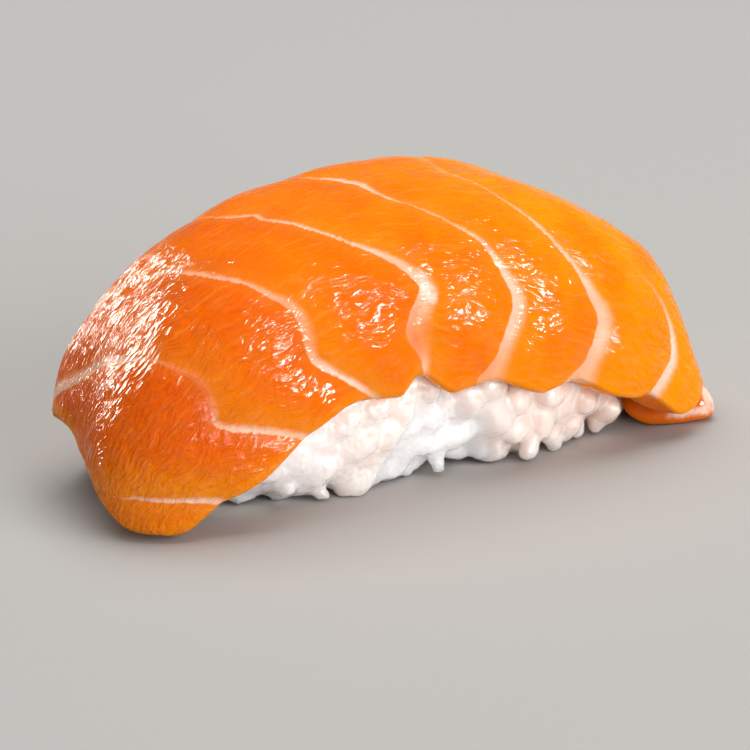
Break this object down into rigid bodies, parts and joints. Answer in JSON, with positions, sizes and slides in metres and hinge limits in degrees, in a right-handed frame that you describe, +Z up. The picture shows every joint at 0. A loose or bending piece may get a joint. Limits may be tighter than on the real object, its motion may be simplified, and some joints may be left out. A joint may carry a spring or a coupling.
{
  "type": "salmon nigiri",
  "caption": "A slice of raw salmon with white fat lines, draped over a pressed block of sushi rice that shows along one long side.",
  "frame": {"origin": "on the flat bottom of the rice block, in the middle of the piece, at table height", "axes": "+Z up, +X along the slice towards its tucked-under tail, -Y towards the long side where the rice shows most"},
  "size_m": [0.0785, 0.0337, 0.0318],
  "materials": {
    "raw_salmon": "wet, soft sheen, translucent orange flesh with pale fat lines",
    "sushi_rice": "moist, softly glossy, slightly translucent warm white grains"
  },
  "bodies": {
    "root": {"salmon_slice": "raw_salmon", "rice_block": "sushi_rice"}
  },
  "joints": []
}
